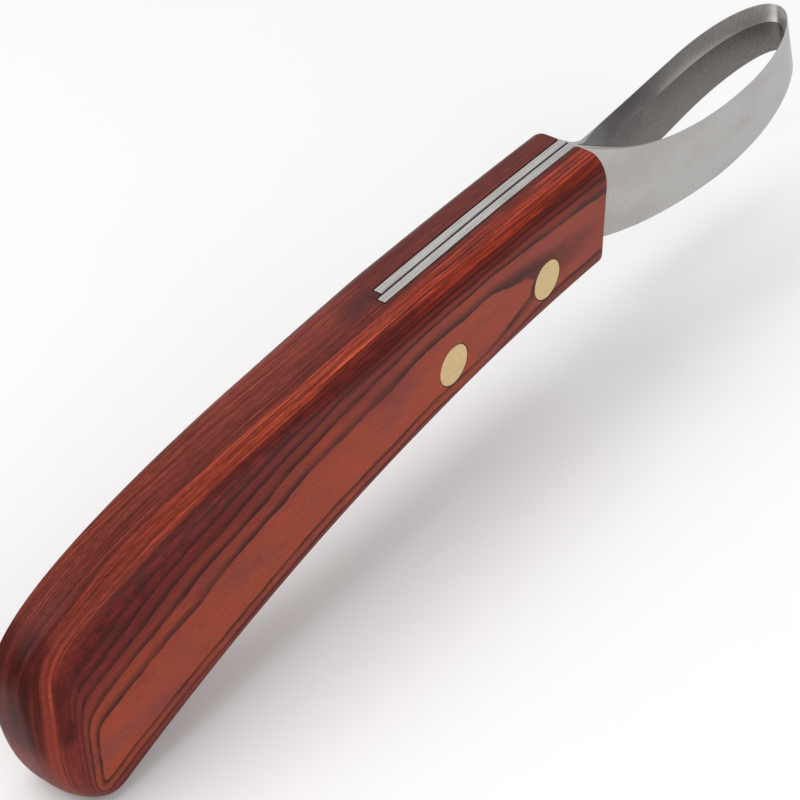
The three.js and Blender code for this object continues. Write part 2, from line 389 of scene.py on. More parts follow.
# The strip's section has this many corners, counted from 0 at the foot of the outer face. Each
# side has the number of its first corner.
SECTION_SIZE = 16
BEVEL_SIDES = (7, 8)
INNER_SIDES = (9, 10)

TANG_STEPS = 30
NECK_STEPS = 24
ARM_STEPS = 70
TIP_STEPS = 48


def edge_height(edge, y):
    rear, front = edge
    return rear.height(y) if y <= rear.points[-1].x else front.height(y)


def neck_place(share):
    """The bend that takes the arm from the straight tang into its curve."""
    rest = 1 - share
    start = Vector((TANG_OUTER, NECK_STRAIGHT))
    handle, end = Vector(NECK_BEND_HANDLE), Vector(NECK_BEND_END)
    place = start * rest * rest + handle * 2 * rest * share + end * share * share
    run = (handle - start) * rest + (end - handle) * share
    return place, run.normalized()


def tip_place(share):
    angle = share * pi / 2
    reach = LOOP_TIP - LOOP_WIDEST
    place = Vector((LOOP_HALF * cos(angle), LOOP_WIDEST + reach * sin(angle)))
    return place, Vector((-LOOP_HALF * sin(angle), reach * cos(angle))).normalized()


def arm_stations(tang_length):
    """Places on the outer face in plan from the tang's end to the tip, with the inward normal."""
    inward = Vector((-1, 0))
    stations = []
    for i in range(TANG_STEPS + 1):
        stations.append((Vector((TANG_OUTER, mix(-tang_length, 0, i / TANG_STEPS))), inward))
    for steps, where in (
        (NECK_STEPS, neck_place),
        (ARM_STEPS, lambda share: (ARM.at(share), ARM.direction(share))),
        (TIP_STEPS, tip_place),
    ):
        for i in range(steps):
            place, run = where(i / steps)
            stations.append((place, Vector((-run.y, run.x))))
    return stations


def strip_section(place, inward, side):
    """One section of the strip: outer face, top edge, bevel, inner face and bottom edge."""
    y = place.y
    in_tang = y <= 0
    top = SPINE_FORWARD.height(y) if in_tang else edge_height(TOP_EDGE, y)
    bottom = TANG_BOTTOM if in_tang else edge_height(BOTTOM_EDGE, y)
    bevel = smoothstep(y, BEVEL_START, BEVEL_FULL)
    thickness = mix(STRIP_THICKNESS, LOOP_THICKNESS, smoothstep(y, THIN_FROM, THIN_FULL))
    land = mix(thickness, EDGE_LAND, bevel)
    hand_ground = 1 + HAND_GRINDING * wander(y, side, GRINDING_PITCH)
    foot = top - max(BEVEL_HEIGHT * bevel * hand_ground, 2 * CORNER_EASE)
    ease = CORNER_EASE
    top_ease = min(ease, land / 3)
    turn = ease * ROUND_SHARE
    top_turn = top_ease * ROUND_SHARE
    corners = [
        (0, bottom + ease),
        *((0, mix(bottom, top, share)) for share in OUTER_HEIGHTS),
        (0, top - top_ease),
        (top_turn, top - top_turn),
        (top_ease, top),
        (land - top_ease, top),
        (land, top - top_ease),
        (mix(land, thickness, 0.5), mix(top - top_ease, foot, 0.5)),
        (thickness, foot),
        (thickness, mix(bottom, foot, 0.5)),
        (thickness, bottom + ease),
        (thickness - turn, bottom + turn),
        (thickness - ease, bottom),
        (ease, bottom),
        (turn, bottom + turn),
    ]
    ring = []
    for inset, z in corners:
        drop = 0 if in_tang else (top - z) / (top - bottom)
        plan = place + inward * inset
        ring.append((side * plan.x, plan.y * (1 + TIP_LEAN * drop), z))
    return ring


def blade_rings():
    right, left = (
        [strip_section(place, inward, side) for place, inward in arm_stations(length)]
        for side, length in ((1, RIGHT_TANG_LENGTH), (-1, LEFT_TANG_LENGTH))
    )
    tip = strip_section(Vector((0, LOOP_TIP)), Vector((0, -1)), 1)
    return right + [tip] + left[::-1]


# ---- Kerf, seats and rivets ------------------------------------------------------------------

CLEARANCE = 0.25
HEAD_RADIUS = 4
HEAD_THICKNESS = 2
HEAD_RIM = 0.15
SHANK_RADIUS = 2.6
SOCKET_RADIUS = 1.75
PIN_RADIUS = 1.5
PIN_TIP = -4.5
PIN_CHAMFER = 0.2
HEAD_SEAT = CHEEK_HALF - HEAD_THICKNESS
KERF_HALF = TANG_OUTER + CLEARANCE
OVERSHOOT = 3
HEAD_EASE = 0.12
FACE_RINGS = (0.9, 0.7, 0.45, 0.2)


def kerf_cutter():
    left_end = -LEFT_TANG_LENGTH - CLEARANCE
    right_end = -RIGHT_TANG_LENGTH - CLEARANCE
    outline = (
        (-KERF_HALF, OVERSHOOT), (-KERF_HALF, left_end), (0, left_end),
        (0, right_end), (KERF_HALF, right_end), (KERF_HALF, OVERSHOOT),
    )
    floor = TANG_BOTTOM - CLEARANCE
    mesh = bmesh.new()
    base = mesh.faces.new([mesh.verts.new((x, y, floor)) for x, y in outline])
    extruded = bmesh.ops.extrude_face_region(mesh, geom=[base])["geom"]
    lift = SPINE.points[0].y + OVERSHOOT - floor
    moved = [item for item in extruded if isinstance(item, bmesh.types.BMVert)]
    bmesh.ops.translate(mesh, verts=moved, vec=(0, 0, lift))
    bmesh.ops.recalc_face_normals(mesh, faces=mesh.faces)
    return made_object("kerf_cutter", mesh)


def seat_cutter(centre):
    """The room for one rivet: a through bore with a wider seat in each cheek."""
    outside = CHEEK_HALF + OVERSHOOT
    seat = HEAD_SEAT - CLEARANCE
    bore = SHANK_RADIUS + CLEARANCE
    wide = HEAD_RADIUS + HEAD_RIM
    profile = (
        (0, -outside), (wide, -outside), (wide, -seat), (bore, -seat),
        (bore, seat), (wide, seat), (wide, outside), (0, outside),
    )
    return made_object("seat_cutter", turned(profile, centre))


def bore_cutter(centre):
    """The hole for a rivet through both tangs."""
    reach = TANG_OUTER + OVERSHOOT
    bore = SHANK_RADIUS + CLEARANCE
    profile = ((0, -reach), (bore, -reach), (bore, reach), (0, reach))
    return made_object("bore_cutter", turned(profile, centre))


def head_profile(side):
    """The head's corners from its seat outwards, with the rim's edge eased by sanding."""
    face = CHEEK_HALF
    corners = [(HEAD_RADIUS, HEAD_SEAT)]
    for i in range(EASE_STEPS + 1):
        angle = i / EASE_STEPS * pi / 2
        inset = HEAD_EASE * (1 - cos(angle))
        corners.append((HEAD_RADIUS - inset, face - HEAD_EASE * (1 - sin(angle))))
    corners += [(HEAD_RADIUS * share, face) for share in FACE_RINGS]
    corners.append((0, face))
    return [(radius, side * x) for radius, x in corners]


def pin_half(centre):
    profile = [
        (0, PIN_TIP), (PIN_RADIUS - PIN_CHAMFER, PIN_TIP), (PIN_RADIUS, PIN_TIP + PIN_CHAMFER),
        (PIN_RADIUS, HEAD_SEAT), *head_profile(1),
    ]
    return turned(profile, centre)


def socket_half(centre):
    mouth = HEAD_SEAT - CLEARANCE
    floor = PIN_TIP - CLEARANCE
    profile = [
        (0, floor), (SOCKET_RADIUS, floor), (SOCKET_RADIUS, mouth), (SHANK_RADIUS, mouth),
        (SHANK_RADIUS, -HEAD_SEAT), *head_profile(-1),
    ]
    return turned(profile, centre)


# ---- Veneer layers ---------------------------------------------------------------------------

# The block is pressed from dyed veneers that lie parallel to the kerf. The cheeks are slightly
# crowned, so the veneers come out there as long closed rings round the fullest line, which is
# level in front and falls away towards the butt.
VENEER_PITCH = 0.45
RING_REACH = 7.5
RING_POWER = 1.65
RIDGE_TOP_Z = 1.3
RIDGE_FALL = 0.00134
RIDGE_LEVEL_FROM = -54
RIDGE_LEVEL_TO = -10
RIDGE_RISE = 2.6
LOWER_SIDE_STEEPER = 1.72
REAR_END = -136.5
REAR_END_STEEPER = 2.3
REAR_END_SQUARENESS = 5
FRONT_END = -40
FRONT_END_REACH = 9.6
FRONT_END_SOFTNESS = 10.6
FRONT_END_SQUARENESS = 2.5
CROWN_FADE = 3

# The fibres end at the surface where it faces this far along the handle, or where it lies this
# many millimetres behind the front face.
END_FACING = (0.3, 0.65)
END_FROM = 141
END_FULL = 146


def ridge_z(y):
    """The height of the fullest line of the cheek."""
    level = RIDGE_TOP_Z - RIDGE_FALL * min(y, RIDGE_LEVEL_FROM) ** 2
    return level + RIDGE_RISE * smoothstep(y, RIDGE_LEVEL_FROM, RIDGE_LEVEL_TO)


def crown(y, z):
    """How far the cheek has been sanded down at a place, in millimetres of veneer."""
    off_ridge = z - ridge_z(y)
    if off_ridge < 0:
        off_ridge *= -LOWER_SIDE_STEEPER
    if y < REAR_END:
        past_end = (REAR_END - y) * REAR_END_STEEPER
        squareness = REAR_END_SQUARENESS
    else:
        past_end = FRONT_END_REACH * (1 - exp(-max(0, y - FRONT_END) / FRONT_END_SOFTNESS))
        squareness = FRONT_END_SQUARENESS
    away = (off_ridge ** squareness + past_end ** squareness) ** (1 / squareness)
    return VENEER_PITCH * (away / RING_REACH) ** RING_POWER


def layer_at(x, y, z):
    """The distance of the veneer at a place from the middle of the block, signed by side."""
    share = min(abs(x) / half_thickness(y, z), 1)
    on_cheek = CHEEK_HALF * share - crown(y, z)
    depth = mix(abs(x), on_cheek, share ** CROWN_FADE)
    return depth if x >= 0 else -depth


def mark_place(made):
    """Keeps the place of each corner in millimetres with the mesh."""
    grain = made.data.attributes.new("grain", "FLOAT_VECTOR", "POINT")
    for i, vertex in enumerate(made.data.vertices):
        grain.data[i].vector = vertex.co


def mark_layers(made):
    """Keeps the veneer layer, and how far the fibres end at the surface, with the mesh."""
    layer = made.data.attributes.new("layer", "FLOAT", "POINT")
    end_grain = made.data.attributes.new("end_grain", "FLOAT", "POINT")
    for i, vertex in enumerate(made.data.vertices):
        layer.data[i].value = layer_at(*vertex.co)
        facing = smoothstep(abs(vertex.normal.y), *END_FACING)
        end_grain.data[i].value = max(facing, smoothstep(-vertex.co.y, END_FROM, END_FULL))


# ---- Shader helpers --------------------------------------------------------------------------


def srgb(red, green, blue):
    """A colour given as the eye sees it, from 0 to 255, for a shader socket."""
    linear = []
    for part in (red, green, blue):
        value = part / 255
        linear.append(value / 12.92 if value <= 0.04045 else ((value + 0.055) / 1.055) ** 2.4)
    return (*linear, 1)


class Shader:
    """A material's node tree, with short ways to add the usual nodes.

    Its place is the one in millimetres that mark_place() keeps with a piece, or in metres when
    the shader isn't for a piece.
    """

    def __init__(self, name, on_piece=True):
        self.material = bpy.data.materials.new(name)
        self.material.use_nodes = True
        self.tree = self.material.node_tree
        self.surface = self.tree.nodes["Principled BSDF"]
        if on_piece:
            self.place = self.attribute("grain", "Vector")
        else:
            self.place = self.add("ShaderNodeTexCoord", {}).outputs["Object"]

    def add(self, kind, sockets, **settings):
        node = self.tree.nodes.new(kind)
        for name, value in settings.items():
            setattr(node, name, value)
        for key, value in sockets.items():
            if isinstance(value, bpy.types.NodeSocket):
                self.tree.links.new(value, node.inputs[key])
            else:
                node.inputs[key].default_value = value
        return node

    def attribute(self, name, output="Fac"):
        """What the mesh keeps under a name."""
        return self.add("ShaderNodeAttribute", {}, attribute_name=name).outputs[output]

    def sum(self, operation, first, second=0.0):
        return self.add("ShaderNodeMath", {0: first, 1: second}, operation=operation).outputs[0]

    def product(self, first, *others):
        for other in others:
            first = self.sum("MULTIPLY", first, other)
        return first

    def range(self, value, low, high, to_low=0.0, to_high=1.0):
        """Runs softly from to_low at low to to_high at high. High may be the lesser of the two."""
        sockets = {"Value": value, 1: low, 2: high, 3: to_low, 4: to_high}
        node = self.add("ShaderNodeMapRange", sockets, interpolation_type="SMOOTHSTEP")
        return node.outputs[0]

    def band(self, value, *limits):
        """The product of soft ranges of one value."""
        return self.product(*(self.range(value, *pair) for pair in limits))

    def noise(self, vector, detail, roughness):
        sockets = {"Vector": vector, "Scale": 1.0, "Detail": detail, "Roughness": roughness}
        return self.add("ShaderNodeTexNoise", sockets).outputs["Fac"]

    def texture(self, scale, move=(0, 0, 0), detail=3.0, roughness=0.5):
        """Noise over the place, with a scale for each axis and a shift that sets it apart."""
        sockets = {"Vector": self.place, "Scale": scale, "Location": move}
        stretched = self.add("ShaderNodeMapping", sockets).outputs[0]
        return self.noise(stretched, detail, roughness)

    def cloud(self, limits, **texture):
        """A texture brought to soft limits."""
        return self.range(self.texture(**texture), *limits)

    def ramp(self, value, stops, low, high):
        """Colours at values from low to high."""
        position = self.add("ShaderNodeMapRange", {"Value": value, 1: low, 2: high}).outputs[0]
        node = self.add("ShaderNodeValToRGB", {"Fac": position})
        elements = node.color_ramp.elements
        while len(elements) > 1:
            elements.remove(elements[-1])
        for i, (place, colour) in enumerate(stops):
            share = (place - low) / (high - low)
            element = elements[0] if i == 0 else elements.new(share)
            element.position = share
            element.color = srgb(*colour)
        return node.outputs[0]

    def blend(self, share, first, second, how="MIX"):
        sockets = {0: share, 6: first, 7: second}
        node = self.add("ShaderNodeMix", sockets, data_type="RGBA", blend_type=how)
        return node.outputs[2]

    def shade(self, colour, light, share=1.0):
        """A colour made lighter or darker by a number."""
        grey = self.add("ShaderNodeCombineColor", {0: light, 1: light, 2: light}).outputs[0]
        return self.blend(share, colour, grey, "MULTIPLY")

    def bump(self, height, strength, distance):
        sockets = {"Height": height, "Strength": strength, "Distance": distance}
        return self.add("ShaderNodeBump", sockets).outputs[0]

    def connect(self, **sockets):
        for name, value in sockets.items():
            socket = self.surface.inputs[name.replace("_", " ")]
            if isinstance(value, bpy.types.NodeSocket):
                self.tree.links.new(value, socket)
            else:
                socket.default_value = value


# ---- Wood ------------------------------------------------------------------------------------

# Limits are (from, to) or (from, to, share at from, share at to). Those of a look say at which
# layers, depths sanded off, places along the handle or heights it comes and goes, all in
# millimetres. Those of a texture are values of its noise, and its scale is per millimetre.
SLOW_WAVE = {"limits": (0.3, 0.7, -0.05, 0.05), "scale": (0.09, 0.05, 0.09), "detail": 2.0}
FINE_WAVE = {"limits": (0.2, 0.8, -0.02, 0.02), "scale": (0.5, 0.2, 0.5), "detail": 2.0}
LEAST_COUNT = 0.02
SIDES_APART = 50
SPINE_SANDED = (1.6, 3.0)
WEAR = {"scale": (0.35, 0.05, 0.35), "move": (3, 7, 1)}
FIBRE = {"scale": (2.4, 0.22, 2.4), "detail": 4.0, "roughness": 0.65}
PORES = {
    "limits": (0.66, 0.74, 0.0, 0.45), "scale": (7.0, 0.5, 7.0), "move": (1, 2, 3), "detail": 1.0,
}


class Wood(Shader):
    """The handle's shader, with the values that its looks share."""

    def __init__(self):
        super().__init__("laminated_wood")
        _, self.along, self.upward = self.add("ShaderNodeSeparateXYZ", {0: self.place}).outputs

        # The veneers are not quite even, and the sander leaves their borders a little wavy.
        wave = self.sum("ADD", self.cloud(**SLOW_WAVE), self.cloud(**FINE_WAVE))
        self.layer = self.sum("ADD", self.attribute("layer"), wave)
        self.sanded = self.sum("SUBTRACT", CHEEK_HALF, self.sum("ABSOLUTE", self.layer))
        self.on_spine = self.range(self.sanded, *SPINE_SANDED)

        # Veneers are counted from each cheek inwards, and each one took the dye in its own way.
        counted = self.sum("DIVIDE", self.sanded, VENEER_PITCH)
        self.counted = self.sum("MAXIMUM", counted, LEAST_COUNT)
        side = self.sum("MULTIPLY", self.sum("SIGN", self.layer), SIDES_APART)
        which = self.sum("ADD", self.sum("FLOOR", self.counted), side)
        dye = self.add("ShaderNodeTexWhiteNoise", {"W": which}, noise_dimensions="1D")
        self.dye = dye.outputs["Value"]

        self.wear = self.texture(**WEAR)
        self.fibre = self.texture(**FIBRE)
        self.pores = self.cloud(**PORES)

    def from_cheek(self, cheek, spine):
        """A value that changes from the cheeks to the spine."""
        return self.range(self.on_spine, 0.0, 1.0, cheek, spine)

    def threads(self, across, lengthwise, third, detail, roughness):
        """Noise that follows the veneers, with a scale across them and one along the handle."""
        sockets = {
            0: self.sum("MULTIPLY", self.layer, across),
            1: self.sum("MULTIPLY", self.along, lengthwise),
            2: third,
        }
        vector = self.add("ShaderNodeCombineXYZ", sockets).outputs[0]
        return self.noise(vector, detail, roughness)


# The dye's colour by layer, from the left cheek to the right one.
DYE_STOPS = (
    (-9.1, (142, 58, 46)), (-8.6, (132, 50, 40)), (-7.6, (110, 40, 33)), (-6.2, (118, 52, 42)),
    (-4.5, (126, 58, 48)), (-2.2, (128, 56, 45)), (-0.4, (118, 50, 41)), (1.2, (112, 46, 38)),
    (2.5, (108, 43, 35)), (3.0, (116, 47, 38)), (3.6, (128, 50, 39)), (5.5, (130, 50, 38)),
    (6.0, (110, 38, 30)), (6.5, (86, 28, 24)), (7.2, (88, 29, 26)), (7.6, (113, 40, 33)),
    (8.1, (126, 50, 41)), (8.6, (132, 57, 47)), (9.1, (135, 61, 51)),
)
DYE_REACH = 9.2

STREAK_TINT = srgb(182, 74, 46)
STREAK_LAYERS = ((3.2, 3.8), (6.0, 5.2))
STREAK_ALONG = ((-50, -68, 0.0, 0.6), (-100, -132, 1.0, 0.25))


def bright_streak(wood, colour):
    """A bright orange streak runs right of the middle, behind the tangs."""
    layers = wood.band(wood.layer, *STREAK_LAYERS)
    share = wood.product(layers, wood.band(wood.along, *STREAK_ALONG))
    return wood.blend(share, colour, STREAK_TINT)


ORANGE = srgb(158, 66, 38)
ORANGE_CLOUD = {
    "limits": (0.4, 0.62, 0.0, 0.7), "scale": (0.16, 0.05, 0.16), "move": (2, 9, 4),
    "roughness": 0.55,
}
ORANGE_SANDED = (1.4, 0.6)


def orange_patches(wood, colour):
    """Broad patches on the cheeks are more orange."""
    share = wood.product(wood.cloud(**ORANGE_CLOUD), wood.range(wood.sanded, *ORANGE_SANDED))
    return wood.blend(share, colour, ORANGE)


WINE = srgb(130, 38, 36)
WINE_CLOUD = {
    "limits": (0.4, 0.65, 0.0, 0.6), "scale": (0.6, 0.3, 0.6), "move": (8, 1, 6), "roughness": 0.6,
}
WINE_SANDED = ((1.3, 1.8), (3.2, 2.8))
WINE_ALONG = (-62, -92, 0.25, 1.0)


def wine_blotches(wood, colour):
    """The shoulders between cheeks and spine are blotched wine red, most of all behind."""
    share = wood.product(wood.cloud(**WINE_CLOUD), wood.band(wood.sanded, *WINE_SANDED))
    share = wood.product(share, wood.range(wood.along, *WINE_ALONG))
    return wood.blend(share, colour, WINE)


FRONT_TINT = srgb(150, 66, 52)
FRONT_ALONG = (-45, -15, 0.0, 0.7)
FRONT_SANDED = (1.1, 0.8)


def plain_front(wood, colour):
    """In front the cheeks are plainer and paler."""
    share = wood.range(wood.along, *FRONT_ALONG)
    share = wood.product(share, wood.range(wood.sanded, *FRONT_SANDED))
    return wood.blend(share, colour, FRONT_TINT)


EMBER = srgb(160, 56, 32)
EMBER_LAYERS = ((2.2, 4.4), (7.3, 6.3))
EMBER_ALONG = (-66, -50)
EMBER_CLOUD = {
    "limits": (0.36, 0.58, 0.35, 0.9), "scale": (2.2, 0.06, 2.2), "move": (5, 5, 9),
    "roughness": 0.6,
}


def embers(wood, colour):
    """In front, right of the tangs, orange shows between dark brown threads."""
    layers = wood.band(wood.layer, *EMBER_LAYERS)
    share = wood.product(layers, wood.range(wood.along, *EMBER_ALONG), wood.cloud(**EMBER_CLOUD))
    return wood.blend(share, colour, EMBER)


SHEET_ACROSS = 2.6
SHEET_ALONG = 0.03
SHEET_NOISE = {"detail": 4.0, "roughness": 0.65}
SHEET_LIMITS = (0.32, 0.68)
# How dark and how light the sheets and the veneers get, on the cheeks and on the spine.
SHEET_DARK = (0.95, 0.7)
SHEET_LIGHT = (1.04, 1.3)
VENEER_DARK = (0.95, 0.86)
VENEER_LIGHT = (1.04, 1.14)


def uneven_dye(wood, colour):
    """The veneers are built of fine uneven sheets that took the dye a little differently."""
    third = wood.sum("MULTIPLY", wood.upward, SHEET_ALONG)
    sheets = wood.threads(SHEET_ACROSS, SHEET_ALONG, third, **SHEET_NOISE)
    dark, light = wood.from_cheek(*SHEET_DARK), wood.from_cheek(*SHEET_LIGHT)
    colour = wood.shade(colour, wood.range(sheets, *SHEET_LIMITS, dark, light))
    dark, light = wood.from_cheek(*VENEER_DARK), wood.from_cheek(*VENEER_LIGHT)
    return wood.shade(colour, wood.range(wood.dye, 0.0, 1.0, dark, light))


GLUE = srgb(52, 21, 20)
GLUE_RUN_OUT = (0.55, 0.35)
GLUE_CRISP = (0.95, 1.0)
GLUE_WEAR = (0.3, 0.6, 0.65, 1.0)
GLUE_FROM = (0.5, 0.8)
GLUE_ON_SPINE = (0.15, 0.75)


def glue_lines(wood, colour):
    """A dark glue line at each border, soft on the side where the sander ran out over it."""
    within = wood.sum("FRACT", wood.counted)
    soft = wood.range(within, 0.0, wood.from_cheek(*GLUE_RUN_OUT), 1.0, 0.0)
    line = wood.sum("MAXIMUM", soft, wood.range(within, *GLUE_CRISP))
    share = wood.product(
        line,
        wood.range(wood.wear, *GLUE_WEAR),
        wood.range(wood.counted, *GLUE_FROM),
        wood.from_cheek(1.0, wood.range(wood.dye, 0.0, 1.0, *GLUE_ON_SPINE)),
    )
    return wood.blend(share, colour, GLUE)


THREADS = {"across": 6.5, "lengthwise": 0.06, "third": 3.0, "detail": 2.0, "roughness": 0.6}
THREAD_LIGHT = (0.4, 0.6, 0.66, 1.16)
THREAD_SHARE = 0.9


def spine_threads(wood, colour):
    """Fine threads run along the spine, crisper than the veneers' own sheets."""
    light = wood.range(wood.threads(**THREADS), *THREAD_LIGHT)
    return wood.shade(colour, light, wood.sum("MULTIPLY", wood.on_spine, THREAD_SHARE))


GROOVE = srgb(74, 26, 22)
GROOVES = {"across": 3.4, "lengthwise": 0.035, "third": 8.0, "detail": 1.0, "roughness": 0.5}
GROOVE_LIMITS = (0.47, 0.38)
GROOVE_LAYERS = (1.5, 3.0)
GROOVE_SANDED = (0.8, 1.5)
GROOVE_ALONG = (-112, -72, 0.25, 0.75)


def dark_grooves(wood, colour):
    """Coarser dark grooves lie between the threads, right of the tangs and for a way behind."""
    share = wood.product(
        wood.range(wood.threads(**GROOVES), *GROOVE_LIMITS),
        wood.range(wood.layer, *GROOVE_LAYERS),
        wood.range(wood.sanded, *GROOVE_SANDED),
        wood.range(wood.along, *GROOVE_ALONG),
    )
    return wood.blend(share, colour, GROOVE)


# Painted shade on the left of the tangs, in front.
LEFT_SHADE = srgb(88, 38, 36)
LEFT_SHADE_LAYERS = ((-1.2, -2.4), (-7.5, -5.5))
LEFT_SHADE_ALONG = (-68, -52, 0.0, 0.75)


def shaded_left(wood, colour):
    """On the left of the tangs the wood is painted darker as shade, which also makes it plainer."""
    layers = wood.band(wood.layer, *LEFT_SHADE_LAYERS)
    share = wood.product(layers, wood.range(wood.along, *LEFT_SHADE_ALONG))
    return wood.blend(share, colour, LEFT_SHADE)


STAIN = srgb(78, 38, 38)
STAIN_ALONG = ((-69, -63), (-56, -58))
STAIN_LAYERS = ((-4.2, -2.6), (1.2, 0.0))
STAIN_WEAR = (0.3, 0.6, 0.4, 0.85)


def kerf_stain(wood, colour):
    """Behind the tangs' ends the wood is stained where the saw ran out."""
    share = wood.product(
        wood.band(wood.along, *STAIN_ALONG),
        wood.band(wood.layer, *STAIN_LAYERS),
        wood.range(wood.wear, *STAIN_WEAR),
    )
    return wood.blend(share, colour, STAIN)


FIBRE_LIMITS = (0.3, 0.7)
FIBRE_STRENGTH = (0.1, 0.22)
SPECKLES = {
    "limits": (0.3, 0.7, 0.9, 1.09), "scale": (3.2, 1.1, 3.2), "move": (6, 6, 2), "detail": 2.0,
    "roughness": 0.7,
}
PORE = srgb(56, 26, 24)


def fibres_and_pores(wood, colour):
    """Short fibres, speckles and pores lie along the handle."""
    strength = wood.from_cheek(*FIBRE_STRENGTH)
    dark = wood.sum("SUBTRACT", 1.0, strength)
    light = wood.sum("ADD", 1.0, strength)
    colour = wood.shade(colour, wood.range(wood.fibre, *FIBRE_LIMITS, dark, light))
    colour = wood.shade(colour, wood.cloud(**SPECKLES))
    return wood.blend(wood.pores, colour, PORE)


END_RED = srgb(134, 50, 40)
END_CLOUD = {"limits": (0.4, 0.6, 0.1, 0.6), "scale": (0.5, 0.1, 0.07), "move": (9, 3, 5)}
END_LAYERS = (8.0, 7.4)
SOAKED = srgb(158, 144, 148)
SOAKED_CLOUD = {"limits": (0.3, 0.6, 0.7, 1.0), "scale": (1.1, 0.1, 0.12), "move": (5, 1, 8)}
SOAKED_LEFT_LAYERS = (4.6, 3.9)
SOAKED_LEFT_UPWARD = (-22, -15, 0.3, 1.0)
SOAKED_PATCH_LAYERS = ((5.2, 5.7), (7.4, 6.8))
SOAKED_PATCH_UPWARD = ((-2, -6), (-18, -15.5))


def butt_end(wood, colour):
    """The butt cuts the fibres across, which leaves it bright red in places.

    It's soaked dark on the left of a narrow red band and in one patch on its right.
    """
    end_grain = wood.attribute("end_grain")
    bright = wood.product(end_grain, wood.cloud(**END_CLOUD), wood.range(wood.layer, *END_LAYERS))
    colour = wood.blend(bright, colour, END_RED)
    left = wood.product(
        wood.range(wood.layer, *SOAKED_LEFT_LAYERS), wood.range(wood.upward, *SOAKED_LEFT_UPWARD),
    )
    patch = wood.product(
        wood.band(wood.layer, *SOAKED_PATCH_LAYERS), wood.band(wood.upward, *SOAKED_PATCH_UPWARD),
    )
    where = wood.sum("MAXIMUM", left, patch)
    soaked = wood.product(end_grain, wood.cloud(**SOAKED_CLOUD), where)
    return wood.blend(soaked, colour, SOAKED, "MULTIPLY")


WOOD_ROUGHNESS = (0.2, 0.8, 0.4, 0.5)
WOOD_COAT = 0.04
WOOD_COAT_ROUGHNESS = 0.25
WOOD_SPECULAR = 0.08
WOOD_BUMP = {"strength": 0.12, "distance": 0.0002}


def wood_material():
    wood = Wood()
    colour = wood.ramp(wood.layer, DYE_STOPS, -DYE_REACH, DYE_REACH)
    for look in (
        bright_streak, orange_patches, wine_blotches, plain_front, embers, uneven_dye, glue_lines,
        spine_threads, dark_grooves, shaded_left, kerf_stain, fibres_and_pores, butt_end,
    ):
        colour = look(wood, colour)
    height = wood.sum("SUBTRACT", wood.fibre, wood.pores)
    wood.connect(
        Base_Color=colour, Roughness=wood.range(wood.fibre, *WOOD_ROUGHNESS),
        Coat_Weight=WOOD_COAT, Coat_Roughness=WOOD_COAT_ROUGHNESS,
        Specular_IOR_Level=WOOD_SPECULAR, Normal=wood.bump(height, **WOOD_BUMP),
    )
    return wood.material


# ---- Steel and brass -------------------------------------------------------------------------

GRIND_LINES = {"scale": (5.0, 5.0, 0.25), "detail": 2.0, "roughness": 0.6}
GRIND_LIGHT = (0.25, 0.75, 0.95, 1.04)
GRIND_ROUGHNESS = (0.25, 0.75, 0.36, 0.46)
STEEL_GRIT = {"scale": (2.2, 2.2, 1.4), "move": (3, 1, 4), "detail": 4.0, "roughness": 0.7}
STEEL_GRIT_LIGHT = (0.3, 0.7, 0.95, 1.05)
PITS = {
    "limits": (0.72, 0.76, 0.0, 0.8), "scale": (2.2, 2.2, 2.2), "move": (4, 8, 6), "detail": 1.0,
}
INSIDE_ROUGHER = 0.16
STEEL_BUMP = {"strength": 0.1, "distance": 0.0001}


class Steel(Shader):
    """The blade's shader, with the values that its looks share."""

    def __init__(self):
        super().__init__("blade_steel")
        self.along = self.add("ShaderNodeSeparateXYZ", {0: self.place}).outputs[1]
        self.inside = self.attribute("inside")
        self.lines = self.texture(**GRIND_LINES)
        self.grit = self.texture(**STEEL_GRIT)
        self.pits = self.product(self.cloud(**PITS), self.inside)


OUTSIDE = (srgb(186, 184, 182), srgb(178, 175, 173))
OUTSIDE_CLOUD = {"limits": (0.35, 0.65), "scale": (0.09, 0.06, 0.14), "detail": 2.0}
STRAW = srgb(196, 172, 148)
STRAW_CLOUD = {
    "limits": (0.5, 0.66, 0.0, 0.5), "scale": (0.7, 0.7, 0.7), "move": (3, 1, 4), "detail": 4.0,
    "roughness": 0.65,
}
STRAW_ALONG = ((24, 8), (0, 2))
# A painted highlight: a bright line on the steel along the wood's front face.
HIGHLIGHT_BESIDE_WOOD = srgb(238, 232, 230)
HIGHLIGHT_BESIDE_WOOD_ALONG = ((1.0, 0.4), (-0.1, 0.1))
HIGHLIGHT_BESIDE_WOOD_SHARE = 0.8


def ground_outside_and_highlight(steel):
    """The outer faces are ground across the strip, and the neck keeps a faint straw tint.

    A bright line is painted on the steel beside the wood's front face, as a highlight.
    """
    tone = steel.blend(steel.cloud(**OUTSIDE_CLOUD), *OUTSIDE)
    straw = steel.product(steel.cloud(**STRAW_CLOUD), steel.band(steel.along, *STRAW_ALONG))
    tone = steel.blend(straw, tone, STRAW)
    # The painted highlight beside the wood's front face.
    line = steel.product(steel.band(steel.along, *HIGHLIGHT_BESIDE_WOOD_ALONG), HIGHLIGHT_BESIDE_WOOD_SHARE)
    return steel.blend(line, tone, HIGHLIGHT_BESIDE_WOOD)


# Painted shade: the inside of the loop is coloured darker than the outer faces.
INSIDE_SHADE = (srgb(126, 122, 120), srgb(140, 136, 134))
INSIDE_SHADE_LIMITS = (0.3, 0.7)
PIT = srgb(60, 56, 54)


def shaded_inside(steel, tone):
    """The inside of the loop is painted darker as shade, and has fine pits."""
    shade_and_pits = steel.blend(steel.range(steel.grit, *INSIDE_SHADE_LIMITS), *INSIDE_SHADE)
    shade_and_pits = steel.blend(steel.pits, shade_and_pits, PIT)
    return steel.blend(steel.inside, tone, shade_and_pits)


